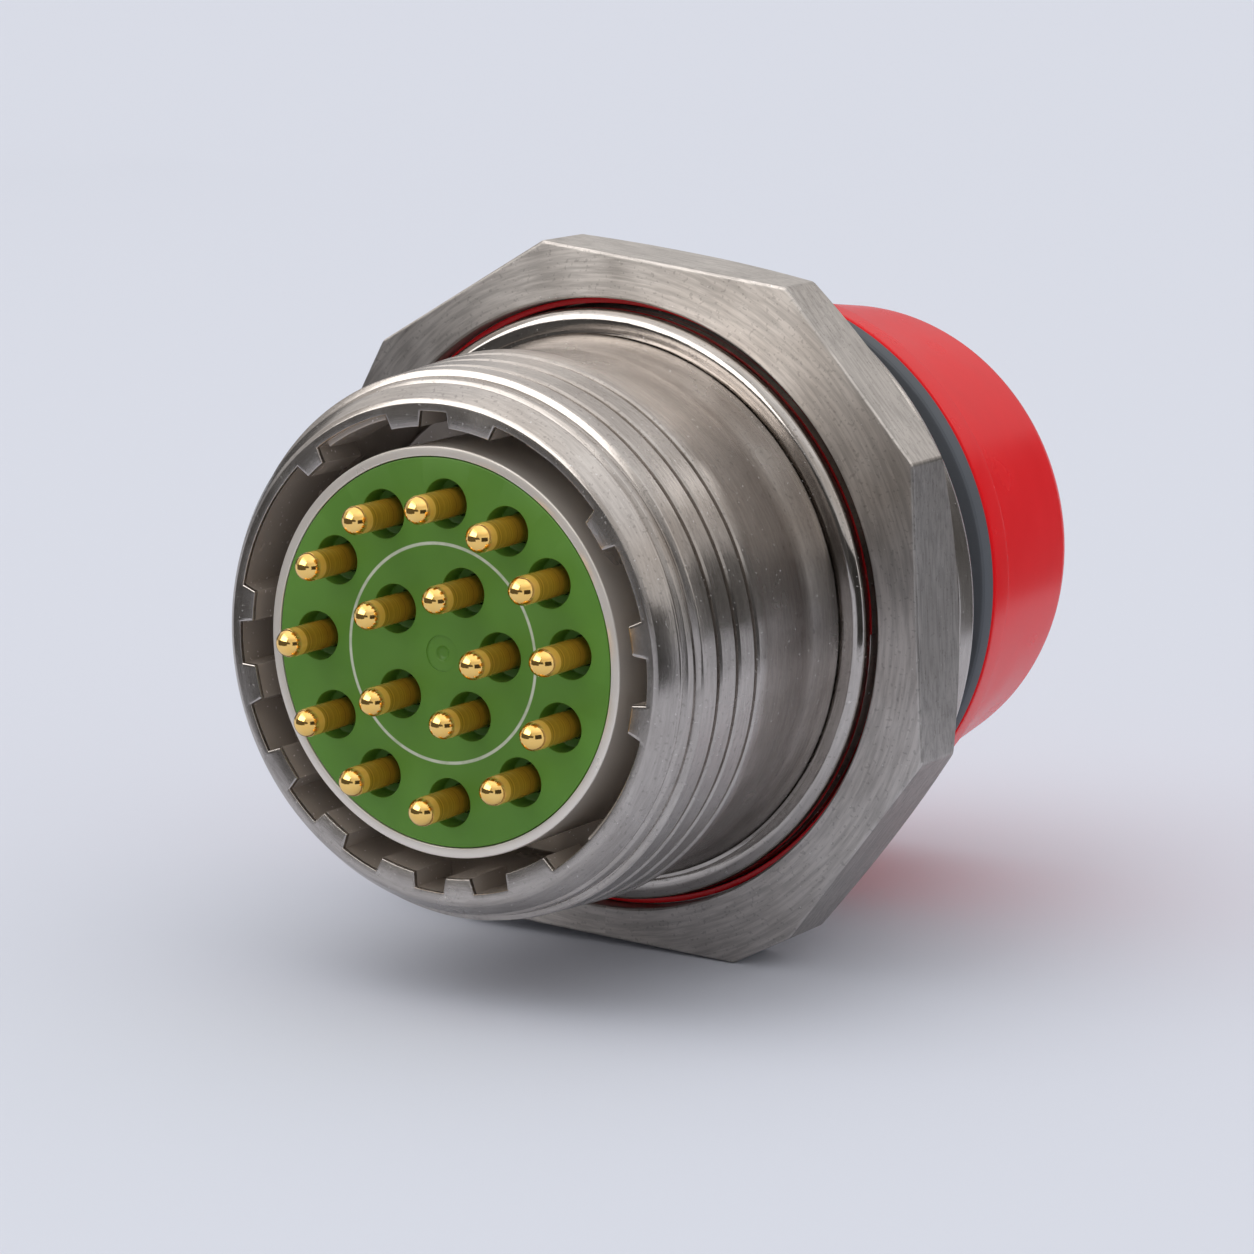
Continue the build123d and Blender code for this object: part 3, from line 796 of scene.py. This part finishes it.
class RECEPTACLE_OT_contacts(bpy.types.Operator):
    """Turn the seventeen round-nosed gold pins"""

    bl_idname = "receptacle.contacts"
    bl_label = "Contacts"

    def execute(self, context):
        # Mirror-bright warm noses that stand out against shanks painted a deeper gold as shade
        gold = gold_plate()
        for number, node in enumerate(CONTACTS, start=1):
            tip, end = span(node)
            # Round nose, body with the clip's groove, and the crimp barrel with its blind hole
            outline = ((0, tip, 0), (0.79, tip, 0.789), (0.79, CONTACT_STEP, 0),
                       (1.2, -13.79, 0.05), (1.2, -1.59, 0.05), (0.9, -1.59, 0), (0.9, 2.71, 0),
                       (1.2, 2.71, 0.05), (1.2, end, 0.08), (0.75, end, 0.08),
                       (0.75, end - 6.0, 0), (0, end - 6.0, 0))
            pin = place(f"pin_{number:02d}", lathe_at(outline, *middle(node)))
            settle(pin, "shell_body", [node], gold)
        return {"FINISHED"}


class RECEPTACLE_OT_rear_seal(bpy.types.Operator):
    """Mould the grey rubber ring behind the barrel"""

    bl_idname = "receptacle.rear_seal"
    bl_label = "Rear seal ring"

    def execute(self, context):
        sizes = context.scene.receptacle_sizes
        front, back = span("rear_seal_ring")
        outer = reach("rear_seal_ring")
        outline = ((13.65, front, 0.1), (outer, front, 0.3), (outer, back, 0.12),
                   (13.65, back, 0.1))
        seal = place("grey_rear_seal", lathe(outline, sizes.turn_steps))
        # A soft dark grey line without a highlight, between the steel and the red
        rubber = plastic("moulded grey rubber", light="#5C6066", dark="#4C5055", grain=0.1,
                         roughness=0.6, gloss=0.3, depth=0.3)
        settle(seal, "shell_body", ["rear_seal_ring"], rubber)
        return {"FINISHED"}


class RECEPTACLE_OT_cap(bpy.types.Operator):
    """Mould the glossy red dust cap"""

    bl_idname = "receptacle.cap"
    bl_label = "Dust cap"

    def execute(self, context):
        sizes = context.scene.receptacle_sizes
        front, back = span("dust_cap")
        lip = reach("dust_cap")
        bottom = back - 2.0
        outline = ((0, back, 0), (13.9, back, 2.2), (15.6, front + 2.65, 0.25),
                   (lip - 0.35, front + 2.6, 0.3), (lip, front, 0.3), (13.68, front, 0.15),
                   (13.68, bottom, 0.4), (0, bottom, 0))
        cap = place("red_dust_cap", lathe(outline, sizes.turn_steps, closed=False))
        # Strong even red, smooth, with only a faint broad sheen
        red = plastic("red moulded polyethylene, glossy", light="#EC121C", dark="#DC0C16",
                      grain=1.2, roughness=0.24, gloss=0.13, depth=0.04)
        settle(cap, "cap_body", ["dust_cap"], red)
        return {"FINISHED"}


class RECEPTACLE_OT_inner(bpy.types.Operator):
    """Give the inner pieces that stay as packed their materials"""

    bl_idname = "receptacle.inner"
    bl_label = "Inner pieces"

    def execute(self, context):
        # Rubbers are dull and dark, the disc a plain pale grey, the springs warm and cool metal
        dress("panel_seal", plastic(
            "black moulded rubber", light="#26272A", dark="#1B1C1E", grain=0.1, roughness=0.55,
            gloss=0.4, depth=0.25))
        dress("rear_grommet", plastic(
            "brown silicone rubber", light="#5A4038", dark="#49332C", grain=0.15, roughness=0.5,
            gloss=0.4, depth=0.25))
        dress("retention_disc", plastic(
            "grey epoxy moulding", light="#8C8F92", dark="#77797C", grain=0.15, roughness=0.45,
            gloss=0.4, depth=0.1))
        dress("retention_clips", turned_metal(
            "beryllium copper strip", light="#C98A5C", dark="#A86F45", roughness=0.3, stretch=0.3,
            mark=0.2, depth=0.1, specks=0.2))
        dress("retaining_ring", turned_metal(
            "spring steel, oiled", light="#8A8B8F", dark="#6C6D72", roughness=0.3, stretch=0.3,
            mark=0.2, depth=0.15, specks=0.3))
        return {"FINISHED"}


class RECEPTACLE_OT_stage(bpy.types.Operator):
    """Set the floor, the studio light and the camera"""

    bl_idname = "receptacle.stage"
    bl_label = "Stage"

    def execute(self, context):
        scene = context.scene
        self.floor(scene.receptacle_colours.floor)
        self.surround(scene)
        self.lamps(scene)
        self.cards()
        self.camera(scene)
        scene.view_settings.view_transform = "Standard"
        return {"FINISHED"}

    def floor(self, colour):
        """Wide floor just under the lowest point of the part."""
        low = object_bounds()[0]
        mesh = bmesh.new()
        bmesh.ops.create_grid(mesh, x_segments=1, y_segments=1, size=6.0)
        bmesh.ops.translate(mesh, verts=mesh.verts[:], vec=(0, 0, low.z - 0.00002))
        floor = place("floor", mesh)
        # Dead matte, so that it only takes a soft shadow
        paint, _, shader = new_material("matte painted floor")
        shader.inputs["Base Color"].default_value = tuple(colour) + (1,)
        shader.inputs["Roughness"].default_value = 0.9
        shader.inputs["Specular IOR Level"].default_value = 0.1
        floor.data.materials.append(paint)
        floor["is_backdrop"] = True

    def surround(self, scene):
        """Pale surround: brightest overhead, darkest and warmest half way up, dimmer in front."""
        world = bpy.data.worlds.new("pale studio")
        world.use_nodes = True
        tree = world.node_tree
        tree.nodes.clear()
        parts = split(tree, add(tree, "ShaderNodeTexCoord", {}, {}).outputs["Generated"])
        height = ramp(tree, parts["Z"], (
            (0.0, "#B2B4B9"), (0.2, "#A2A2A4"), (0.5, "#968C83"), (0.72, "#D3D3D4"),
            (1.0, "#FFFFFF")))
        front = rescale(tree, parts["Y"], (-0.9, 0.2), (0.55, 1.0))
        around = add(tree, "ShaderNodeBackground", {}, {"Color": height, "Strength": front})
        add(tree, "ShaderNodeOutputWorld", {}, {"Surface": around.outputs[0]})
        scene.world = world

    def lamps(self, scene):
        """Broad lamps as (name, direction, strength, spread in degrees): shadows stay soft."""
        for name, toward, strength, spread in (
                ("key", (-0.42, -0.45, 1.0), 0.6, 50), ("fill", (0.85, -0.35, 0.6), 0.35, 90),
                ("overhead", (0.1, -0.1, 1.0), 0.85, 170)):
            lamp = bpy.data.lights.new(name, "SUN")
            lamp.energy = strength
            lamp.angle = math.radians(spread)
            made = bpy.data.objects.new(name, lamp)
            made.rotation_euler = Vector(toward).to_track_quat("Z", "Y").to_euler()
            scene.collection.objects.link(made)

    def cards(self):
        """Cards as (name, place, size, brightness), seen only in reflections.

        Dark ones give the metal its deep bands, and pale ones its bright streaks.
        """
        for name, where, size, tone in (
                ("dark card behind", (0.42, 0.44, 0.05), (0.40, 0.30), 0.09),
                ("dark card in front", (-0.10, -0.42, 0.03), (0.80, 0.16), 0.08),
                ("low dark card in front", (-0.049, -0.079, -0.002), (0.12, 0.04), 0.10),
                ("low dark card at the right", (0.080, -0.050, -0.002), (0.08, 0.05), 0.05),
                ("low dark card behind", (0.047, 0.076, -0.002), (0.06, 0.05), 0.12),
                ("dark card at the left", (-0.43, 0.25, 0.03), (0.36, 0.24), 0.05),
                ("pale card at the left", (-0.40, 0.34, 0.34), (0.55, 0.30), 0.9),
                ("pale card in front", (-0.20, -0.36, 0.25), (0.50, 0.26), 3.6),
                ("pale card behind at the right", (0.17, 0.50, 0.29), (0.14, 0.10), 2.2),
                ("pale card overhead", (-0.10, -0.12, 0.60), (0.55, 0.45), 1.2)):
            mesh = bmesh.new()
            bmesh.ops.create_grid(mesh, x_segments=1, y_segments=1, size=0.5)
            bmesh.ops.scale(mesh, vec=(size[0], size[1], 1), verts=mesh.verts[:])
            turn = Vector(where).to_track_quat("Z", "Y").to_matrix().to_4x4()
            bmesh.ops.transform(mesh, matrix=Matrix.Translation(where) @ turn,
                                verts=mesh.verts[:])
            card = place(name.replace(" ", "_"), mesh)
            paint = bpy.data.materials.new(name)
            paint.use_nodes = True
            tree = paint.node_tree
            tree.nodes.clear()
            glow = add(tree, "ShaderNodeEmission", {}, {
                "Color": (1, 0.98, 0.96, 1), "Strength": tone})
            add(tree, "ShaderNodeOutputMaterial", {}, {"Surface": glow.outputs[0]})
            card.data.materials.append(paint)
            card.visible_camera = False
            card.visible_diffuse = False
            card.visible_shadow = False
            card.visible_transmission = False
            card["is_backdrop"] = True

    def camera(self, scene):
        """Long lens from the front right, a little above the part."""
        view = bpy.data.cameras.new("front view")
        view.lens = 129.2
        view.sensor_width = 36.0
        view.clip_start = 0.005
        view.clip_end = 30.0
        camera = bpy.data.objects.new("front view", view)
        camera.location = (133.0 * MM, -218.9 * MM, 46.2 * MM)
        camera.rotation_euler = (math.radians(79.28), 0, math.radians(31.8))
        scene.collection.objects.link(camera)
        scene.camera = camera


class RECEPTACLE_PT_pieces(bpy.types.Panel):
    """Sidebar panel with a button for each operator and a field for each setting"""

    bl_idname = "RECEPTACLE_PT_pieces"
    bl_label = "Jam-nut receptacle"
    bl_space_type = "VIEW_3D"
    bl_region_type = "UI"
    bl_category = "Receptacle"

    def draw(self, context):
        column = self.layout.column()
        for operator in OPERATORS:
            column.operator(operator.bl_idname)
        for group in (context.scene.receptacle_sizes, context.scene.receptacle_colours):
            for key in group.__annotations__:
                column.prop(group, key)


OPERATORS = (
    RECEPTACLE_OT_shell, RECEPTACLE_OT_nut, RECEPTACLE_OT_band, RECEPTACLE_OT_insert,
    RECEPTACLE_OT_contacts, RECEPTACLE_OT_rear_seal, RECEPTACLE_OT_cap, RECEPTACLE_OT_inner,
    RECEPTACLE_OT_stage,
)
CLASSES = (ReceptacleSizes, ReceptacleColours) + OPERATORS + (RECEPTACLE_PT_pieces,)


def register():
    for kind in CLASSES:
        bpy.utils.register_class(kind)
    bpy.types.Scene.receptacle_sizes = PointerProperty(type=ReceptacleSizes)
    bpy.types.Scene.receptacle_colours = PointerProperty(type=ReceptacleColours)


def unregister():
    del bpy.types.Scene.receptacle_colours
    del bpy.types.Scene.receptacle_sizes
    for kind in reversed(CLASSES):
        bpy.utils.unregister_class(kind)


def main():
    register()
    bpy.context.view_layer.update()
    bpy.ops.receptacle.shell()
    bpy.ops.receptacle.nut()
    bpy.ops.receptacle.band()
    bpy.ops.receptacle.insert()
    bpy.ops.receptacle.contacts()
    bpy.ops.receptacle.rear_seal()
    bpy.ops.receptacle.cap()
    bpy.ops.receptacle.inner()
    bpy.ops.receptacle.stage()


if __name__ == "__main__":
    main()
